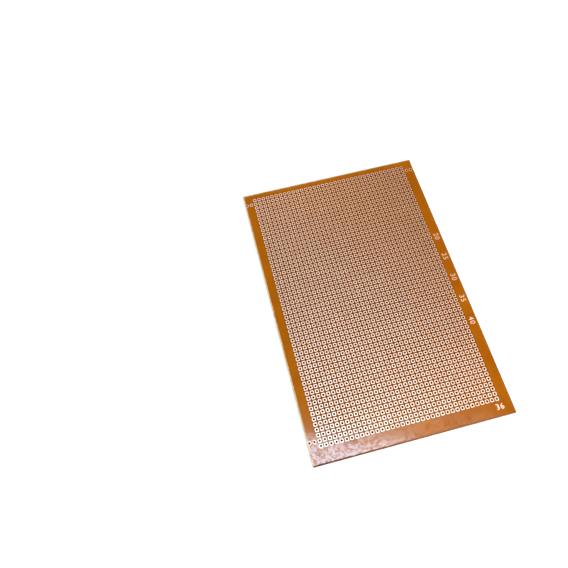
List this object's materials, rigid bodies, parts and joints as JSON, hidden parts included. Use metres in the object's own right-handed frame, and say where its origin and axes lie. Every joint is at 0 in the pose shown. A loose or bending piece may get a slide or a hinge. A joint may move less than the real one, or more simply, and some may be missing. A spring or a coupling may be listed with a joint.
{
  "type": "prototype board",
  "caption": "Flat rectangular single-sided prototype board: an amber phenolic sheet drilled all over on a tenth-inch grid, with a square copper pad round each hole.",
  "frame": {"origin": "middle of the bare back face", "axes": "+X along a row of holes, +Y from the last row towards the first, +Z out of the copper side"},
  "size_m": [0.1016, 0.1524, 0.0016],
  "materials": {
    "phenolic": "amber phenolic paper with a resin-gloss face",
    "copper": "bare etched copper foil, lightly lacquered"
  },
  "bodies": {
    "root": {"base_sheet": "phenolic", "pad_row_01": "copper", "pad_row_02": "copper", "pad_row_03": "copper", "pad_row_04": "copper", "pad_row_05": "copper", "pad_row_06": "copper", "pad_row_07": "copper", "pad_row_08": "copper", "pad_row_09": "copper", "pad_row_10": "copper", "pad_row_11": "copper", "pad_row_12": "copper", "pad_row_13": "copper", "pad_row_14": "copper", "pad_row_15": "copper", "pad_row_16": "copper", "pad_row_17": "copper", "pad_row_18": "copper", "pad_row_19": "copper", "pad_row_20": "copper", "pad_row_21": "copper", "pad_row_22": "copper", "pad_row_23": "copper", "pad_row_24": "copper", "pad_row_25": "copper", "pad_row_26": "copper", "pad_row_27": "copper", "pad_row_28": "copper", "pad_row_29": "copper", "pad_row_30": "copper", "pad_row_31": "copper", "pad_row_32": "copper", "pad_row_33": "copper", "pad_row_34": "copper", "pad_row_35": "copper", "pad_row_36": "copper", "pad_row_37": "copper", "pad_row_38": "copper", "pad_row_39": "copper", "pad_row_40": "copper", "pad_row_41": "copper", "pad_row_42": "copper", "pad_row_43": "copper", "pad_row_44": "copper", "pad_row_45": "copper", "pad_row_46": "copper", "pad_row_47": "copper", "pad_row_48": "copper", "pad_row_49": "copper", "pad_row_50": "copper", "pad_row_51": "copper", "pad_row_52": "copper", "pad_row_53": "copper", "pad_row_54": "copper", "pad_row_55": "copper", "pad_row_56": "copper", "margin_pads": "copper"}
  },
  "joints": []
}
